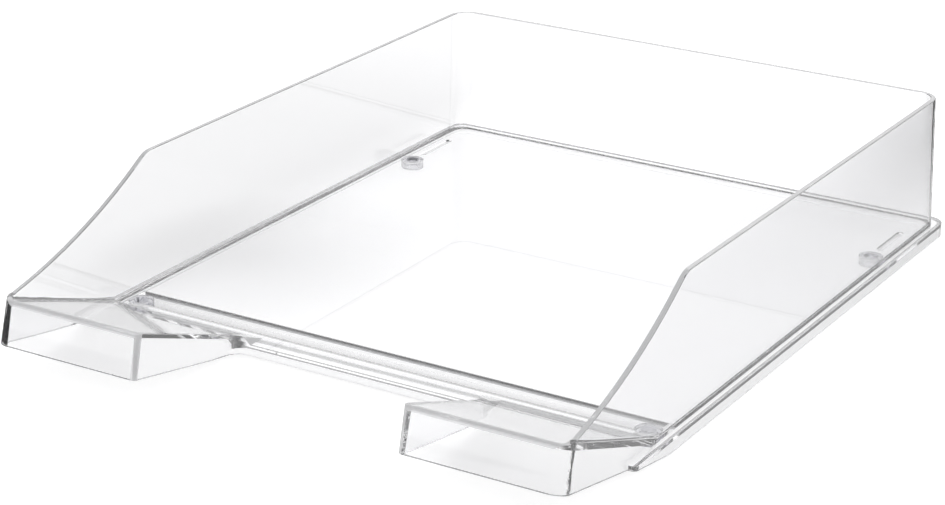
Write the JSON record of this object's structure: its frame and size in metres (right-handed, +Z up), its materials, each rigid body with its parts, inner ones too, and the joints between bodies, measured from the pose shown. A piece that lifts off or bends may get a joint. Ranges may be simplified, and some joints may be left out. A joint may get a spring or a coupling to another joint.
{
  "type": "letter tray",
  "caption": "Clear plastic letter tray with a flat floor, swooping side walls, a finger recess between raised hollow noses, a perimeter rail and riser sockets in the floor.",
  "frame": {"origin": "on the table, under the middle of the tray's outer box", "axes": "+Z up, -Y towards the finger recess and the noses, +X to the right seen from the front"},
  "size_m": [0.255, 0.348, 0.065],
  "materials": {
    "clear_tray": "clear polystyrene, polished",
    "clear_socket": "clear polystyrene, polished"
  },
  "bodies": {
    "root": {"letter_tray": "clear_tray", "front_left_socket": "clear_socket", "front_right_socket": "clear_socket", "rear_left_socket": "clear_socket", "rear_right_socket": "clear_socket"}
  },
  "joints": []
}
